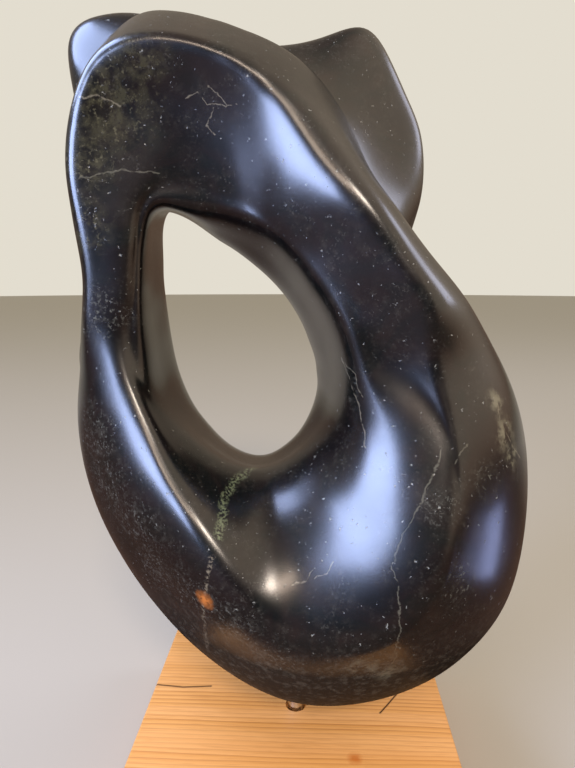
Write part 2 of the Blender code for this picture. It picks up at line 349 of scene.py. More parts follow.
# %% Guide curves
# The stone's height, and the height that its guides were drawn for.
STONE_HEIGHT_MM = 328.0
DRAWN_HEIGHT_MM = 328.0

# The sections round the hole, and the levels of subdivision that smooth the skin over them.
STATIONS = 60
SKIN_LEVELS = 3

# The drawing's heights start this far above the plinth, so that the pin shows below the stone.
PIN_SHOWN = 10.0 * MM

# The hole's centre in the drawing, across from the pin and above that start.
HOLE_ACROSS = -24.0
HOLE_ABOVE_FOOT = 176.0

# Stations stand closer together round the pointed end of the hole, whose angle and spread are in
# degrees. The crowding is the share of their spacing that they lose there.
POINT_ANGLE = 121.0
POINT_SPREAD = 17.0
POINT_CROWDING = 0.45

# A key is (angle in degrees from +X towards +Z, radius from the hole's centre, depth away from the
# viewer), in millimetres for a stone of the drawn height.
WAIST = (
    (4, 29, 18), (43, 27.5, 18), (80, 34.5, 18), (105, 49, 18), (118, 67, 18), (122, 71.5, 18),
    (127, 68.5, 18), (138, 56.5, 16), (155, 46, 15), (180, 40, 15), (212, 41.5, 15), (239, 48, 15),
    (265, 57, 15), (276, 59, 15), (293, 54, 15), (309, 47.5, 16), (327, 40.5, 18), (337, 36.3, 18),
)
MOUTH = (
    (12, 43, -32.5), (40, 41, -27.5), (60, 44, -23), (78, 49, -18.5), (96, 55, -16.5), (108, 60, -17.5),
    (120, 67, -19), (133, 57, -19.5), (144, 49, -20.5), (162, 42, -22), (186, 39, -22), (215, 42, -21),
    (248, 47, -20), (280, 57, -22.5), (297, 56.5, -26.5), (322, 54, -31.5), (347, 48, -34.5),
)
LIP = (
    (354, 66, -41.5), (14, 58.5, -39), (31, 55, -37), (45, 55, -35), (58, 56, -32), (71, 59, -28),
    (86, 66, -21.5), (101, 75, -20.5), (111, 82, -21.5), (123, 75.5, -23.5), (136, 62, -25.5),
    (152, 52, -26.5), (170, 50, -27.5), (189, 48, -30.5), (207, 46.5, -34), (225, 48.5, -39),
    (243, 55.5, -46.5), (259, 66, -54.5), (270, 78.5, -59.5), (281, 96.5, -63.5), (290, 105, -66.5),
    (301, 109.5, -68.5), (316, 103, -66), (335, 85.5, -53.5),
)
CREST = (
    (357, 83.5, -43.5), (13, 82.5, -43), (24, 79, -42), (34, 78, -40.5), (46, 79.5, -39), (55, 82, -37),
    (62, 86, -34.3), (69, 91.5, -31.8), (76, 98, -29.6), (83, 105, -28), (91, 112.3, -26.7),
    (99, 119.3, -25.8), (106, 124, -25.3), (111, 125, -25), (115.5, 123.5, -24.5), (121, 117, -24.5),
    (132, 99.5, -24.5), (142, 82, -25), (154, 69.5, -25.5), (170, 65, -25.5), (188, 66, -24.5),
    (200, 70.5, -24.5), (215, 77, -26), (230, 86, -30), (250, 99, -38.5), (264, 113, -47),
    (275, 125, -53.5), (283, 130, -57.5), (293, 131.5, -60.5), (303, 130, -62.5), (314, 123.5, -61),
    (324, 114.5, -57), (340, 97.5, -49.5),
)
RIM = (
    (4, 105.5, 0), (19, 91, 0), (33, 86, 0), (49, 90, 0), (59, 99, 0), (78, 122, 0), (90, 132, 0),
    (103, 144, 2), (108, 146.5, 4), (115, 139, 0), (124, 127, 0), (136, 103.5, 0), (152, 79.5, 0),
    (164, 72.5, 0), (178, 72, 0), (192, 76.5, 0), (215, 94, 0), (235, 113.5, 0), (249, 132.5, 0),
    (268, 163.5, 2), (278, 177.5, 3), (284, 181.5, 3), (290, 183.5, 3), (299, 183, 3), (307, 179, 3),
    (315, 172.5, 2), (331, 148.5, 0), (347, 127.5, 0),
)
GROOVE = (
    (4, 103, 16), (19, 89.5, 14), (33, 84.5, 13), (49, 89, 14), (59, 97, 15), (78, 120, 17),
    (90, 129, 17), (104, 143, 16), (109, 144, 15), (115, 134, 13), (124, 121, 12), (136, 99, 12),
    (152, 76, 12), (164, 70, 12), (178, 70, 12), (192, 75, 13), (215, 93, 16), (235, 114, 18),
    (249, 132, 20), (268, 160, 22), (290, 179, 23), (315, 170, 22), (340, 134, 19),
)
EDGE = (
    (0, 102, 36), (20, 90, 38), (32, 94, 40), (39, 109, 41), (52, 133, 42), (60, 143, 42),
    (66, 154, 41), (69, 158, 41), (74, 151, 41), (80, 143.5, 40), (90, 140, 38), (100, 148, 34),
    (109, 160, 30), (115, 165.5, 29), (119, 166, 29), (122, 161, 30), (125, 148, 32), (129, 133, 35),
    (135, 116, 38), (145, 101, 41), (155, 92, 42), (165, 89, 42), (176, 91.5, 42), (188, 96, 42),
    (200, 98, 42), (215, 99, 40), (235, 113, 38), (250, 130, 38), (268, 150, 40), (290, 165, 42),
    (315, 156, 41), (340, 126, 38),
)
BACK_CREST = (
    (0, 88, 54), (30, 85, 56), (52, 116, 59), (69, 137, 60), (90, 122, 57), (115, 147, 50), (135, 102, 54),
    (165, 78, 56), (200, 86, 56), (235, 100, 54), (268, 130, 54), (290, 144, 55), (315, 136, 55),
    (340, 108, 55),
)
BACK_FACE = (
    (0, 66, 60), (30, 62, 60), (60, 84, 66), (90, 88, 64), (115, 100, 60), (135, 80, 60), (165, 62, 62),
    (200, 68, 62), (235, 80, 62), (268, 98, 62), (290, 108, 64), (315, 98, 64), (340, 78, 62),
)
BACK_LIP = (
    (0, 46, 50), (30, 43, 50), (60, 46, 50), (80, 54, 50), (100, 66, 48), (121, 82, 44), (140, 66, 46),
    (165, 52, 48), (200, 50, 50), (240, 60, 50), (268, 74, 50), (290, 74, 52), (315, 62, 52),
    (340, 52, 52),
)

# The guides in their order round the limb, each with the swell of the skin between it and the next,
# as a share of their distance: above zero swells outwards, below zero hollows.
SECTION = (
    (WAIST, ((0, 0.0),)),
    (MOUTH, (
        (20, 0.06), (60, 0.08), (85, 0.05), (105, 0.0), (120, -0.02), (160, 0.0), (220, 0.05), (250, 0.07),
        (280, 0.09), (305, 0.08), (325, 0.08), (345, 0.06),
    )),
    (LIP, (
        (0, 0.04), (45, 0.08), (62, 0.10), (75, 0.06), (90, -0.02), (115, -0.03), (150, 0.04), (230, 0.14),
        (290, 0.11), (325, 0.09),
    )),
    (CREST, (
        (0, 0.18), (60, 0.06), (95, 0.04), (150, 0.08), (230, 0.13), (290, 0.13), (320, 0.15), (345, 0.17),
    )),
    (RIM, ((0, 0.04),)),
    (GROOVE, ((0, 0.0), (60, -0.05), (115, 0.06), (165, 0.0), (270, 0.0))),
    (EDGE, ((0, 0.12),)),
    (BACK_CREST, ((0, 0.05),)),
    (BACK_FACE, ((0, 0.10),)),
    (BACK_LIP, ((0, 0.08),)),
)

# How sharp the carved ridges are, from 0 to 1, by angle.
CREST_SHARPNESS = (
    (50, 0), (66, 0.05), (78, 0.2), (90, 0.4), (104, 0.45), (120, 0.35), (140, 0.25), (165, 0.3),
    (185, 0.1), (200, 0),
)
RIM_SHARPNESS = (
    (20, 0.0), (35, 0.5), (60, 0.7), (85, 0.6), (105, 0.3), (120, 0.5), (160, 0.2), (210, 0.0),
)

# Where the two carved ridges come in the section.
CREST_PLACE = 3
RIM_PLACE = 4
print("guides", len(SECTION), "keys", sum(len(guide) for guide, swell in SECTION))

# %% [markdown]
# ## The stone's cage
# A smooth closed curve runs through the keys of each guide. At each station round the hole the
# guides give the corners of a section, and one swollen point lies between each two of them. The
# points are then moved out a little, because smoothing draws a surface in from its corners.

# %% The stone's cage
ANGLE_STEPS = 3600


def periodic(keys, angle):
    """The values at an angle of a smooth closed curve through keys of (angle, value, ...)."""
    lap = sorted((key[0] % 360.0, *key[1:]) for key in keys)
    if len(lap) == 1:
        return lap[0][1:]
    laps = [(key[0] + turn, *key[1:]) for turn in (-360.0, 0.0, 360.0) for key in lap]
    angle %= 360.0
    after = next(n for n, key in enumerate(laps) if key[0] > angle)
    before, left, right, beyond = laps[after - 2 : after + 2]
    span = right[0] - left[0]
    t = (angle - left[0]) / span
    values = []
    for part in range(1, len(left)):
        slope_left = (right[part] - before[part]) / (right[0] - before[0]) * span
        slope_right = (beyond[part] - left[part]) / (beyond[0] - left[0]) * span
        values.append(
            (2 * t**3 - 3 * t**2 + 1) * left[part]
            + (t**3 - 2 * t**2 + t) * slope_left
            + (3 * t**2 - 2 * t**3) * right[part]
            + (t**3 - t**2) * slope_right
        )
    return tuple(values)


def station_angles():
    """The stations' angles in degrees, closer together round the hole's pointed end."""
    weights = []
    for n in range(ANGLE_STEPS):
        away = (n * 360.0 / ANGLE_STEPS - POINT_ANGLE + 180.0) % 360.0 - 180.0
        weights.append(1.0 / (1.0 - POINT_CROWDING * math.exp(-((away / POINT_SPREAD) ** 2))))
    step = sum(weights) / STATIONS
    angles = []
    travelled = 0.0
    for n, weight in enumerate(weights):
        if travelled >= step * len(angles) and len(angles) < STATIONS:
            angles.append(n * 360.0 / ANGLE_STEPS)
        travelled += weight
    return angles


def section_at(angle):
    """The section's points at an angle, as (radius, depth) in the drawing's millimetres."""
    corners = [periodic(guide, angle) for guide, swell in SECTION]
    points = []
    for n, (guide, swell) in enumerate(SECTION):
        radius, depth = corners[n]
        next_radius, next_depth = corners[(n + 1) % len(corners)]
        points.append((radius, depth))
        amount = periodic(swell, angle)[0]
        middle_radius = (radius + next_radius) / 2.0 + amount * (next_depth - depth)
        middle_depth = (depth + next_depth) / 2.0 - amount * (next_radius - radius)
        points.append((middle_radius, middle_depth))
    return points


def lifted(row, sharpness):
    """A closed row of points moved out so that the smoothed skin passes through their old places."""
    count = len(row)
    moved = []
    for n, point in enumerate(row):
        chord = (row[n - 1] + row[(n + 1) % count]) / 2.0
        moved.append(point + (point - chord) * 0.5 * (1.0 - sharpness[n]))
    return moved


def stone_points():
    """The stone's cage as rows of points and of sharpness, one row for each station."""
    scale = STONE_HEIGHT_MM / DRAWN_HEIGHT_MM * MM
    foot = PLINTH_TOP + PIN_SHOWN
    rows = []
    sharp_rows = []
    for angle in station_angles():
        turn = math.radians(angle)
        row = []
        for radius, depth in section_at(angle):
            across = (HOLE_ACROSS + radius * math.cos(turn)) * scale
            up = (HOLE_ABOVE_FOOT + radius * math.sin(turn)) * scale
            row.append(Vector((across, depth * scale, foot + up)))
        sharpness = [0.0] * len(row)
        sharpness[2 * CREST_PLACE] = max(0.0, periodic(CREST_SHARPNESS, angle)[0])
        sharpness[2 * RIM_PLACE] = max(0.0, periodic(RIM_SHARPNESS, angle)[0])
        rows.append(lifted(row, sharpness))
        sharp_rows.append(sharpness)
    smooth = [0.0] * len(rows)
    columns = [lifted(list(column), smooth) for column in zip(*rows)]
    return [list(row) for row in zip(*columns)], sharp_rows


print("stations", STATIONS, "points in a section", len(section_at(0.0)))

# %% [markdown]
# ## What shows in the stone
# Black soapstone is mostly talc with chlorite. What shows in it is faint: brown and green clouds,
# pale flecks of talc and dolomite, hairline veins, olive patches by the top ridge and one spot of
# rust. The veins are drawn one by one in their places, as paths, and each path is in millimetres from
# the pin's axis and the plinth's underside. The other places are given in the same way.

# %% Veins and places
# Each vein is (width, the way it faces, its points).
FRONT = (0.0, -1.0, 0.0)
HOLE_SIDE = (-0.75, -0.65, 0.0)
BODY_SIDE = (0.68, -0.69, 0.23)
UNDER_HOLE = (0.35, -0.5, 0.79)
LOW_LEFT = (-0.47, -0.85, -0.24)
PALE_VEINS = (
    (0.3, FRONT, ((-43, -22, 323), (-39, -22, 324), (-34, -22, 321), (-30, -23, 320), (-23, -24, 319))),
    (0.3, FRONT, ((-34, -23, 327), (-30, -23, 324), (-27, -23, 320))),
    (0.3, FRONT, ((-32, -22, 319), (-35, -21, 314), (-31, -21, 310))),
    (0.5, FRONT, ((-84, -25, 323), (-77, -25, 324), (-69, -23, 321))),
    (0.4, HOLE_SIDE, ((19, -28, 222), (23, -35, 212), (28, -39, 200), (31, -42, 189))),
    (0.3, HOLE_SIDE, ((20, -31, 220), (24, -36, 217), (27, -39, 209))),
    (0.4, BODY_SIDE, ((80, -37, 205), (82, -38, 197), (88, -36, 188), (92, -33, 182))),
    (0.35, FRONT, ((9, -58, 141), (13, -58, 143), (16, -58, 147))),
    (0.35, FRONT, ((0, -59, 139), (5, -59, 140), (8, -59, 143))),
)
FAINT_VEINS = (
    (0.5, FRONT, ((-86, -26, 293), (-78, -25, 295), (-68, -23, 296), (-55, -22, 296))),
    (0.35, FRONT, ((47, -58, 171), (41, -60, 161), (37, -63, 150), (40, -66, 137), (39, -62, 108))),
    (0.5, FRONT, ((55, -51, 191), (52, -54, 182), (47, -58, 172))),
    (0.5, FRONT, ((65, -51, 193), (61, -53, 186))),
)
GREEN_VEINS = (
    (2.6, UNDER_HOLE, ((-19, -11, 169), (-24, -24, 169), (-27, -35, 167), (-28, -44, 164), (-28, -55, 156))),
)
RUST_VEINS = (
    (1.2, LOW_LEFT, ((-31, -61, 149), (-33, -60, 138), (-35, -56, 127), (-37, -47, 110), (-38, -39, 94))),
)

# Where the olive mottling, the pale flecks and the rust gather, each place with a reach.
OLIVE_PLACES = ((-74, -24, 322, 26), (-83, -25, 300, 16), (-85, -27, 275, 14), (-60, -25, 338, 14))
FLECK_PLACES = (
    (-84, -30, 190, 17), (-78, -33, 168, 18), (-64, -42, 153, 18), (-58, -43, 134, 18), (-42, -53, 128, 18),
    (-24, -61, 122, 18), (-8, -60, 108, 16), (-80, -27, 240, 16), (28, -62, 104, 20), (54, -57, 170, 10),
    (62, -60, 142, 12), (74, -49, 178, 10), (45, -50, 118, 14),
)
PALE_PLACES = ((83, -38, 194, 9), (80, -37, 206, 7), (28, -66, 106, 9), (38, -60, 102, 8), (86, -36, 184, 7))
RUST_PLACES = ((-34, -57, 130, 5.2),)

VEINS = {
    "pale veins": PALE_VEINS,
    "faint veins": FAINT_VEINS,
    "green veins": GREEN_VEINS,
    "rust veins": RUST_VEINS,
}
PLACES = {"olive": OLIVE_PLACES, "crowd": FLECK_PLACES, "pale": PALE_PLACES, "rust": RUST_PLACES}
for name, veins in VEINS.items():
    print(name, len(veins), "of", sum(len(path) for width, facing, path in veins), "points")

# %% [markdown]
# ## Patterns as shares
# Each pattern is a share between zero and one, which a material then uses to lay one colour over
# another. Specks are noise at the sizes seen in the stone. A noise also shifts the drawn veins and
# places about, so that no line is clean.

# %% Patterns
# How far a vein reaches into the stone to either side of its path, in millimetres.
VEIN_DEPTH = 7.0

# The share of a vein's width, or of a place's reach, that is full before it starts to fade.
VEIN_CORE = 0.2
PLACE_CORE = 0.25


def near(tree, point, places):
    """One at the nearest of some places, falling to zero at its reach."""
    share = 0.0
    for x, y, z, reach in places:
        pair = {0: point, 1: (x, y, z)}
        distance = add(tree, "ShaderNodeVectorMath", pair, out="Value", operation="DISTANCE")
        here = add(tree, "ShaderNodeMapRange", {0: distance, 1: reach, 2: PLACE_CORE * reach}, out=0)
        share = add(tree, "ShaderNodeMath", {0: share, 1: here}, out=0, operation="MAXIMUM")
    return share


def line_share(tree, point, width, facing, start, end):
    """One on the line from start to end, as a thin sheet that goes in, falling to zero at its edges."""
    along = end - start
    side = Vector(facing).cross(along)
    turn = Matrix((along.normalized(), side.normalized(), along.cross(side).normalized()))
    place = {"Vector": point, "Location": start, "Rotation": turn.transposed().to_euler()}
    local = add(tree, "ShaderNodeMapping", place, out=0, vector_type="TEXTURE")
    low = (0.0, 0.0, -VEIN_DEPTH)
    high = (along.length, 0.0, VEIN_DEPTH)
    raised = add(tree, "ShaderNodeVectorMath", {0: local, 1: low}, out=0, operation="MAXIMUM")
    held = add(tree, "ShaderNodeVectorMath", {0: raised, 1: high}, out=0, operation="MINIMUM")
    away = add(tree, "ShaderNodeVectorMath", {0: local, 1: held}, out="Value", operation="DISTANCE")
    return add(tree, "ShaderNodeMapRange", {0: away, 1: width, 2: VEIN_CORE * width}, out=0)


def vein_share(tree, point, veins):
    """One on the middle line of the nearest vein, falling to zero at its edges."""
    share = 0.0
    for width, facing, path in veins:
        for start, end in zip(path, path[1:]):
            here = line_share(tree, point, width, facing, Vector(start), Vector(end))
            share = add(tree, "ShaderNodeMath", {0: share, 1: here}, out=0, operation="MAXIMUM")
    return share


def specks(tree, point, size, low, high):
    """Uneven specks of a size in millimetres, where a fine noise passes from a low to a high mark."""
    sizes = {"Vector": point, "Scale": 1.0 / size, "Detail": 4.0, "Roughness": 0.65}
    noise = add(tree, "ShaderNodeTexNoise", sizes, out=0)
    return add(tree, "ShaderNodeMapRange", {0: noise, 1: low, 2: high}, out=0)


def wandered(tree, point, size, amount):
    """The point moved about by a noise of a size, so that what is drawn there has natural edges."""
    drift = add(tree, "ShaderNodeTexNoise", {"Vector": point, "Scale": 1.0 / size, "Detail": 3.0}, out=1)
    centred = add(tree, "ShaderNodeVectorMath", {0: drift, 1: (0.5, 0.5, 0.5)}, out=0, operation="SUBTRACT")
    move = {0: centred, 1: (amount, amount, amount), 2: point}
    return add(tree, "ShaderNodeVectorMath", move, out=0, operation="MULTIPLY_ADD")


print("a vein is full for", VEIN_CORE, "of its width, and a place for", PLACE_CORE, "of its reach")

# %% [markdown]
# ## The soapstone finish
# The carved stone is wet sanded to a fine grit, warmed, and rubbed with wax, so it turns nearly black
# with a soft shine. The wax is thin on the underside, which is more matt, and its greyer brown there is
# a painted reflection of the shaded plinth below it. The colours are laid over the black one after
# another, each where all of its patterns are.

# %% The soapstone finish
BLACK = "#080808"
CLOUD_SIZE = 30.0
CLOUD_TONES = ((0.34, BLACK), (0.47, "#120d0c"), (0.55, "#0a0c0b"), (0.68, "#19120f"))

# Each kind of speck is (its size, then the marks of the noise where it starts and where it is full).
SPECKS = {
    "patches": (11.0, 0.42, 0.62),
    "mottle": (3.2, 0.5, 0.66),
    "blotches": (5.0, 0.43, 0.6),
    "fine mottle": (1.8, 0.58, 0.7),
    "clusters": (6.0, 0.36, 0.56),
    "flecks": (1.5, 0.55, 0.64),
    "dust": (1.1, 0.57, 0.66),
    "strays": (1.9, 0.665, 0.71),
    "broken line": (2.6, 0.36, 0.5),
    "flecked line": (1.2, 0.46, 0.56),
    "rust grains": (1.6, 0.47, 0.56),
}

# Each layer is (colour, strength, the patterns that it needs).
LAYERS = (
    ("#2c2923", 0.5, ("mottle", "patches")),
    ("#3b3827", 0.7, ("olive", "blotches")),
    ("#67624a", 0.6, ("olive", "fine mottle")),
    ("#6d6d63", 0.45, ("crowd", "clusters", "flecks")),
    ("#35342e", 0.75, ("crowd", "clusters", "mottle")),
    ("#3c3a34", 0.6, ("dust", "patches")),
    ("#8f8e84", 0.6, ("strays",)),
    ("#77735f", 0.7, ("pale", "blotches")),
    ("#7d7563", 0.5, ("pale veins", "broken line")),
    ("#74705f", 0.35, ("faint veins", "broken line")),
    ("#6c7355", 0.75, ("green veins", "flecked line")),
    ("#7a6f5b", 0.65, ("rust veins", "flecked line")),
    ("#b0662c", 0.95, ("rust",)),
    ("#4a2a14", 0.85, ("rust", "rust grains")),
    # The last two layers, on the underside, are a painted reflection: a greyer brown stands in for the
    # shaded plinth that the shine there would mirror.
    ("#2b2621", 0.5, ("bare_with_painted_reflection",)),
    ("#4a453c", 0.5, ("bare_with_painted_reflection", "mottle")),
)

# The drawn veins and places wander by these amounts, in waves of these sizes.
WANDER_SIZE = 7.0
WANDER = 4.4
JITTER_SIZE = 1.6
JITTER = 1.3

# The wax is thin on the underside, between these heights, and there a painted reflection in the colour
# stands in for the shine. A look is (socket, waxed, bare).
WAXED_FROM = 124.0
BARE_BELOW = 100.0
LOOKS = (("Specular IOR Level", 0.5, 0.02), ("Coat Weight", 0.12, 0.0))
WAXED_ROUGHNESS = (0.22, 0.27)
BARE_ADDED_ROUGHNESS = 0.25
RUBBED_SIZE = 18.0

# The sanding marks are much finer than this. They are drawn this coarse so that they show.
SANDING_SIZE = 0.5


def stone_patterns(tree, point):
    """Every pattern of the stone as a share, by its name."""
    loose = wandered(tree, wandered(tree, point, WANDER_SIZE, WANDER), JITTER_SIZE, JITTER)
    shares = {name: specks(tree, point, *marks) for name, marks in SPECKS.items()}
    for name, places in PLACES.items():
        shares[name] = near(tree, loose, places)
    for name, veins in VEINS.items():
        shares[name] = vein_share(tree, loose, veins)
    height = add(tree, "ShaderNodeSeparateXYZ", {0: loose}, out=2)
    # The underside's share, where the shine is dulled and a reflection is painted into the colour.
    shares["bare_with_painted_reflection"] = add(tree, "ShaderNodeMapRange", {0: height, 1: WAXED_FROM, 2: BARE_BELOW}, out=0)
    return shares


def rub_with_wax(tree, shader, point, bare_with_painted_reflection):
    """The soft shine of the wax, uneven as it was rubbed, and duller on the underside, where the wax is thin
    and a reflection is painted into the colour instead.
    """
    rubbing = {"Vector": point, "Scale": 1.0 / RUBBED_SIZE, "Detail": 4.0}
    rubbed = add(tree, "ShaderNodeTexNoise", rubbing, out=0)
    smooth, dull = WAXED_ROUGHNESS
    waxed = add(tree, "ShaderNodeMapRange", {0: rubbed, 1: 0.3, 2: 0.7, 3: smooth, 4: dull}, out=0)
    worn_off = {0: bare_with_painted_reflection, 1: BARE_ADDED_ROUGHNESS, 2: waxed}
    roughness = add(tree, "ShaderNodeMath", worn_off, out=0, operation="MULTIPLY_ADD")
    tree.links.new(roughness, shader.inputs["Roughness"])
    for socket, on_wax, on_bare in LOOKS:
        look = add(tree, "ShaderNodeMapRange", {0: bare_with_painted_reflection, 3: on_wax, 4: on_bare}, out=0)
        tree.links.new(look, shader.inputs[socket])
    shader.inputs["IOR"].default_value = 1.56
    shader.inputs["Coat Roughness"].default_value = 0.16
    shader.inputs["Coat IOR"].default_value = 1.45


def make_soapstone():
    material, tree, shader, point = new_material("soapstone")
    shares = stone_patterns(tree, point)
    clouds = {"Vector": point, "Scale": 1.0 / CLOUD_SIZE, "Detail": 5.0, "Distortion": 0.6}
    cloud = add(tree, "ShaderNodeTexNoise", clouds, out=0)
    colour = add(tree, "ShaderNodeValToRGB", {0: cloud}, out=0, stops=CLOUD_TONES)
    for layer_colour, strength, names in LAYERS:
        colour = laid_over(tree, colour, layer_colour, [shares[name] for name in names], strength)
    tree.links.new(colour, shader.inputs["Base Color"])
    rub_with_wax(tree, shader, point, shares["bare_with_painted_reflection"])

    sanding = {"Vector": point, "Scale": 1.0 / SANDING_SIZE, "Detail": 2.0}
    skin = add(tree, "ShaderNodeTexNoise", sanding, out=0)
    worn = add(tree, "ShaderNodeBump", {"Height": skin, "Strength": 0.5, "Distance": 0.02 * MM}, out=0)
    pocks = {"Height": shares["strays"], "Strength": 0.5, "Distance": 0.06 * MM, "Normal": worn}
    pitted = add(tree, "ShaderNodeBump", pocks, out=0, invert=True)
    tree.links.new(pitted, shader.inputs["Normal"])
    return material


soapstone = make_soapstone()
print("soapstone nodes", len(soapstone.node_tree.nodes))

# %% [markdown]
# ## Bars and cutters
# A drilled bore is a round bar taken out of a piece, and the pin is the same bar left as it is. A
# Boolean modifier with the exact solver takes the bar's volume away. Its result is kept as the
# piece's plain mesh, so no cutter stays in the scene.

# %% Bars and cutters


def round_bar(diameter, bottom, top):
    """A bmesh of a round bar on the Z axis."""
    bm = bmesh.new()
    bmesh.ops.create_cone(
        bm,
        cap_ends=True,
        segments=PIN_SIDES,
        radius1=diameter / 2.0,
        radius2=diameter / 2.0,
        depth=top - bottom,
    )
    bmesh.ops.translate(bm, vec=(0.0, 0.0, (top + bottom) / 2.0), verts=bm.verts)
    return bm


def cut_away(piece, bm):
    """Takes a cutter's volume out of a piece and keeps the result as the piece's mesh."""
    cutter = new_piece("cutter", bm, None)
    cut = piece.modifiers.new("cut", "BOOLEAN")
    cut.object = cutter
    cut.operation = "DIFFERENCE"
    cut.solver = "EXACT"
    shaped = piece.evaluated_get(bpy.context.evaluated_depsgraph_get())
    mesh = bpy.data.meshes.new_from_object(shaped)
    piece.modifiers.clear()
    piece.data = mesh
    bpy.data.objects.remove(cutter, do_unlink=True)


print("a bar has", PIN_SIDES, "sides")

# %% [markdown]
# ## The stone
# A circle of points is spun round the hole's axis into a closed ring of quads, and each point is
# then carried to its own guide curve, so the ring has no seam and no hidden face. The ridges that
# the carver kept crisp are creased, and three levels of subdivision give the smooth rubbed skin.
# The bore for the pin is cut last, and the result is kept as one plain mesh.

# %% The stone
# The skin is drawn in by this share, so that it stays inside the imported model's box.
STONE_EASE = 0.997
RING_RADIUS = 1.0
LIMB_RADIUS = 0.25


def spun_ring(places):
    """A closed ring of quads, and each point's station and place round the limb."""
    bm = bmesh.new()
    limb = bmesh.ops.create_circle(bm, segments=places, radius=LIMB_RADIUS)["verts"]
    bmesh.ops.translate(bm, vec=(RING_RADIUS, 0.0, 0.0), verts=limb)
    bmesh.ops.spin(
        bm,
        geom=bm.verts[:] + bm.edges[:],
        cent=(0.0, 0.0, 0.0),
        axis=(0.0, 1.0, 0.0),
        angle=-math.tau,
        steps=STATIONS,
        use_merge=True,
    )
    address = {}
    for vert in bm.verts:
        turn = math.atan2(vert.co.z, vert.co.x) % math.tau
        reach = math.hypot(vert.co.x, vert.co.z) - RING_RADIUS
        around = math.atan2(-vert.co.y, -reach) % math.tau
        station = round(turn / math.tau * STATIONS) % STATIONS
        place = round(around / math.tau * places) % places
        address[vert] = (station, place)
    return bm, address


def crease_ridges(bm, address, sharp_rows):
    """Creases the edges along a carved ridge by its sharpness, so that smoothing keeps them crisp."""
    crease = bm.edges.layers.float.new("crease_edge")
    for edge in bm.edges:
        (station, place), (other_station, other_place) = (address[vert] for vert in edge.verts)
        if place == other_place:
            edge[crease] = (sharp_rows[station][place] + sharp_rows[other_station][place]) / 2.0


def make_stone(material):
    rows, sharp_rows = stone_points()
    places = len(rows[0])
    bm, address = spun_ring(places)
    crease_ridges(bm, address, sharp_rows)
    middle = sum((point for row in rows for point in row), Vector()) / (len(rows) * places)
    for vert, (station, place) in address.items():
        vert.co = middle + (rows[station][place] - middle) * STONE_EASE
    stone = new_piece("soapstone_loop", bm, material)
    skin = stone.modifiers.new("skin", "SUBSURF")
    skin.levels = SKIN_LEVELS
    skin.render_levels = SKIN_LEVELS
    bore = PIN_DIAMETER + 2.0 * PIN_CLEARANCE
    cut_away(stone, round_bar(bore, PLINTH_TOP - PIN_SHOWN, PIN_TOP + PIN_CLEARANCE))
    stone.data.shade_smooth()
    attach(stone, "root")
    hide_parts("carved_stone")
    return stone


stone = make_stone(soapstone)
print("stone faces", len(stone.data.polygons))

# %% [markdown]
# ## The pin
# A short bright steel rod, turned to size and cut off square with a small bevel. One end stands in
# the stone and the other in the wood, and only a few millimetres show between them.

# %% The pin
# The turning marks are finer than this. They are drawn this coarse so that they show.
TURNING_SIZE = 0.18
PIN_SHARP_DEG = 30.0


def make_steel():
    # Bright drawn steel rod: fine turning rings round its length draw the light out sideways.
    material, tree, shader, point = new_material("bright_steel_rod")
    shader.inputs["Base Color"].default_value = linear("#c9c8c6")
    shader.inputs["Metallic"].default_value = 1.0
    shader.inputs["Roughness"].default_value = 0.16
    flat = add(tree, "ShaderNodeVectorMath", {0: point, 1: (0.0, 0.0, 1.0)}, out=0, operation="MULTIPLY")
    turning = {"Vector": flat, "Scale": 1.0 / TURNING_SIZE, "Detail": 2.0}
    rings = add(tree, "ShaderNodeTexNoise", turning, out=0)
    turned = add(tree, "ShaderNodeBump", {"Height": rings, "Strength": 0.4, "Distance": 0.01 * MM}, out=0)
    tree.links.new(turned, shader.inputs["Normal"])
    return material


def soften_edges(bm, edges, width):
    """A small bevel of three steps along some edges."""
    bmesh.ops.bevel(
        bm,
        geom=edges,
        offset=width,
        offset_type="OFFSET",
        segments=3,
        profile=0.5,
        affect="EDGES",
        material=-1,
    )


def make_pin(material):
    bm = round_bar(PIN_DIAMETER, PIN_BOTTOM, PIN_TOP)
    rims = [edge for edge in bm.edges if abs(edge.verts[0].co.z - edge.verts[1].co.z) < PIN_BEVEL]
    soften_edges(bm, rims, PIN_BEVEL)
    pin = new_piece("steel_rod", bm, material)
    pin.data.shade_smooth()
    pin.data.set_sharp_from_angle(angle=math.radians(PIN_SHARP_DEG))
    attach(pin, "root")
    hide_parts("steel_pin")
    return pin


pin = make_pin(make_steel())
print("pin faces", len(pin.data.polygons))

# %% [markdown]
# ## The plinth's wood
# A square cut from a softwood board, sanded and oiled. Its growth rings are circles round the heart
# of the log, which lay below the block and in front of it, so they cross the top in close straight
# lines and show on the two ends as slanting arcs. Each year starts pale and soft and ends in a thin
# darker line. Fine pores run along the grain, and the drying checks are darkened with painted shade.

# %% The wood finish
# Sizes and places are in millimetres. The log's heart is (its Y, its Z), and the rings wander by an
# amount, in waves of a size.
RING_SPACING = 2.1
LOG_HEART = (-260.0, -170.0)
RING_WANDER = 6.0
RING_WANDER_SIZE = 30.0
BROAD_SIZE = 22.0

# The pores are much finer than this. They are drawn this coarse so that they show.
PORE_SIZE = 0.45

# The grain runs along X, so a pattern is drawn out by making little of that length.
ALONG_GRAIN = (0.12, 1.0, 1.0)
ALONG_PORES = (0.035, 1.0, 1.0)
ACROSS_ONLY = (0.0, 1.0, 1.0)

# A knot is a place on the top with a reach, and its edge wanders.
KNOTS = ((28.0, -33.0, PLINTH_TOP / MM, 4.2),)
KNOT_WANDER_SIZE = 3.0
KNOT_WANDER = 2.5

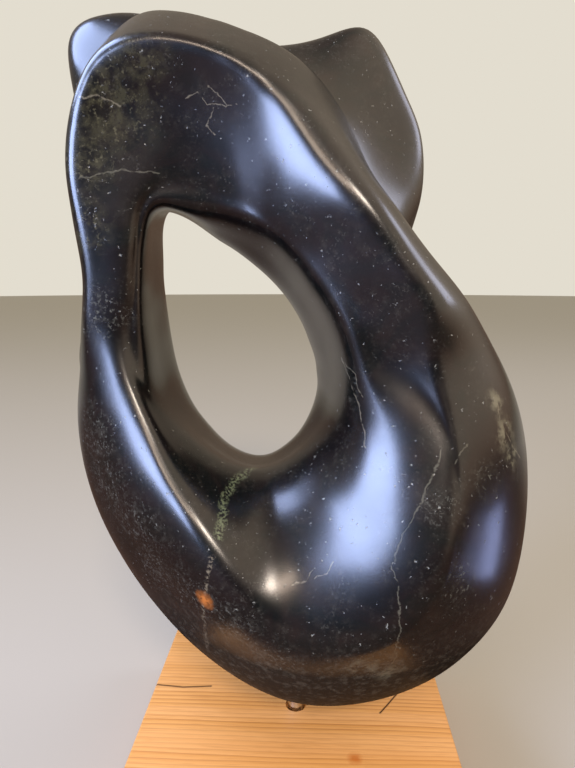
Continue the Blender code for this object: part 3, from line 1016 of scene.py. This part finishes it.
# A drying check is (width, depth, its points on the top face), and painted shade fills a share of its width.
CHECKS = (
    (1.1, 6.0, ((-80.0, 11.6), (-61.0, 9.9), (-46.0, 11.3))),
    (0.9, 4.0, ((42.7, -4.2), (48.1, 3.0), (55.0, 12.6))),
)
CHECK_SHADE_WIDTH = 0.8
UP = (0.0, 0.0, 1.0)
SEASON_TONES = ((0.0, "#de9f57"), (0.5, "#d8994f"), (0.8, "#c98741"), (0.94, "#b27339"), (1.0, "#d89a50"))


def years_from_heart(tree, point, slow):
    """How many growth rings lie between a point and the log's heart, with their slow wander."""
    waves = {"Vector": slow, "Scale": 1.0 / RING_WANDER_SIZE, "Detail": 3.0}
    bend = add(tree, "ShaderNodeTexNoise", waves, out=1)
    wander = {0: bend, 1: (RING_WANDER, RING_WANDER, RING_WANDER), 2: point}
    bent = add(tree, "ShaderNodeVectorMath", wander, out=0, operation="MULTIPLY_ADD")
    across = add(tree, "ShaderNodeVectorMath", {0: bent, 1: ACROSS_ONLY}, out=0, operation="MULTIPLY")
    heart = (0.0, *LOG_HEART)
    reach = add(tree, "ShaderNodeVectorMath", {0: across, 1: heart}, out="Value", operation="DISTANCE")
    return add(tree, "ShaderNodeMath", {0: reach, 1: RING_SPACING}, out=0, operation="DIVIDE")


def painted_check_shade(tree, point):
    """One along the middle of the drying checks on the top face, where their shade is painted."""
    top = PLINTH_TOP / MM
    paths = [(CHECK_SHADE_WIDTH * width, UP, [(x, y, top) for x, y in path]) for width, depth, path in CHECKS]
    return vein_share(tree, point, paths)


def oil_the_wood(tree, shader, season, fibre):
    """The soft shine of oiled wood, with open pores and a small step at each ring."""
    shader.inputs["Roughness"].default_value = 0.5
    shader.inputs["IOR"].default_value = 1.5
    shader.inputs["Coat Weight"].default_value = 0.12
    shader.inputs["Coat Roughness"].default_value = 0.35
    pores = {"Height": fibre, "Strength": 0.6, "Distance": 0.05 * MM}
    grain = add(tree, "ShaderNodeBump", pores, out=0, invert=True)
    steps = {"Height": season, "Strength": 0.25, "Distance": 0.08 * MM, "Normal": grain}
    rings = add(tree, "ShaderNodeBump", steps, out=0)
    tree.links.new(rings, shader.inputs["Normal"])


def make_wood():
    # Oiled softwood board, sanded along the grain: warm bands of years under fine straight fibres.
    material, tree, shader, point = new_material("oiled_softwood")
    slow = add(tree, "ShaderNodeVectorMath", {0: point, 1: ALONG_GRAIN}, out=0, operation="MULTIPLY")
    years = years_from_heart(tree, point, slow)
    season = add(tree, "ShaderNodeMath", {0: years}, out=0, operation="FRACT")
    year_number = add(tree, "ShaderNodeMath", {0: years}, out=0, operation="FLOOR")
    year_tone = add(tree, "ShaderNodeTexWhiteNoise", {"W": year_number}, out=0, noise_dimensions="1D")
    colour = add(tree, "ShaderNodeValToRGB", {0: season}, out=0, stops=SEASON_TONES)
    colour = laid_over(tree, colour, "#e9ad6c", (year_tone,), 0.5)

    drawn_out = add(tree, "ShaderNodeVectorMath", {0: point, 1: ALONG_PORES}, out=0, operation="MULTIPLY")
    fibres = {"Vector": drawn_out, "Scale": 1.0 / PORE_SIZE, "Detail": 3.0}
    fibre = add(tree, "ShaderNodeTexNoise", fibres, out=0)
    fibre_share = add(tree, "ShaderNodeMapRange", {0: fibre, 1: 0.5, 2: 0.72}, out=0)
    colour = laid_over(tree, colour, "#ad7133", (fibre_share,), 0.4)
    bands = {"Vector": slow, "Scale": 1.0 / BROAD_SIZE, "Detail": 2.0}
    broad = add(tree, "ShaderNodeTexNoise", bands, out=0)
    broad_share = add(tree, "ShaderNodeMapRange", {0: broad, 1: 0.45, 2: 0.7}, out=0)
    colour = laid_over(tree, colour, "#d08d48", (broad_share,), 0.45)
    knot = near(tree, wandered(tree, point, KNOT_WANDER_SIZE, KNOT_WANDER), KNOTS)
    colour = laid_over(tree, colour, "#b8621c", (knot,), 0.8)
    # Painted shade darkens the drying checks along their paths.
    colour = laid_over(tree, colour, "#2f1a0c", (painted_check_shade(tree, point),), 0.9)
    tree.links.new(colour, shader.inputs["Base Color"])
    oil_the_wood(tree, shader, season, fibre)
    return material


wood = make_wood()
print("wood nodes", len(wood.node_tree.nodes))

# %% [markdown]
# ## The plinth
# The block is a cube brought to size with its arrises broken by a few strokes of sandpaper. The
# bore's mouth is a little wider than the rod, as a drill leaves it. The two drying checks are cut as
# real thin wedges, along the paths that are darkened with painted shade.

# %% The plinth
# Each length of a check runs a little into the next, and its wedge closes to these shares at its
# foot, along it and across it.
CHECK_OVERLAP = 0.4 * MM
CHECK_FOOT = (0.9, 0.1, 1.0)
PLINTH_SHARP_DEG = 35.0


def cut_check(piece, width, depth, start, end):
    """Cuts one straight length of a drying check, a wedge that closes as it goes down."""
    along = (Vector(end) - Vector(start)) * MM
    middle = (Vector(end) + Vector(start)) * 0.5 * MM
    bm = bmesh.new()
    bmesh.ops.create_cube(bm, size=1.0)
    foot = [vert for vert in bm.verts if vert.co.z < 0.0]
    bmesh.ops.scale(bm, vec=CHECK_FOOT, verts=foot)
    size = (along.length + CHECK_OVERLAP, width * MM, 2.0 * depth * MM)
    bmesh.ops.scale(bm, vec=size, verts=bm.verts)
    turn = Matrix.Rotation(math.atan2(along.y, along.x), 3, "Z")
    bmesh.ops.rotate(bm, cent=(0.0, 0.0, 0.0), matrix=turn, verts=bm.verts)
    bmesh.ops.translate(bm, vec=(middle.x, middle.y, PLINTH_TOP), verts=bm.verts)
    cut_away(piece, bm)


def make_plinth(material):
    bm = bmesh.new()
    bmesh.ops.create_cube(bm, size=1.0)
    bmesh.ops.scale(bm, vec=(PLINTH_WIDTH, PLINTH_DEPTH, PLINTH_TOP), verts=bm.verts)
    bmesh.ops.translate(bm, vec=(0.0, 0.0, PLINTH_TOP / 2.0), verts=bm.verts)
    soften_edges(bm, bm.edges[:], PLINTH_ARRIS)
    plinth = new_piece("wood_block", bm, material)
    bore = PIN_DIAMETER + 2.0 * PIN_CLEARANCE
    mouth = PIN_DIAMETER + 2.0 * BORE_MOUTH_CLEARANCE
    cut_away(plinth, round_bar(bore, PIN_BOTTOM - PIN_CLEARANCE, PIN_TOP))
    cut_away(plinth, round_bar(mouth, PLINTH_TOP - BORE_MOUTH_DEPTH, PIN_TOP))
    for width, depth, path in CHECKS:
        for start, end in zip(path, path[1:]):
            cut_check(plinth, width, depth, start, end)
    plinth.data.shade_smooth()
    plinth.data.set_sharp_from_angle(angle=math.radians(PLINTH_SHARP_DEG))
    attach(plinth, "root")
    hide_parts("wood_plinth")
    return plinth


plinth = make_plinth(wood)
print("plinth faces", len(plinth.data.polygons))
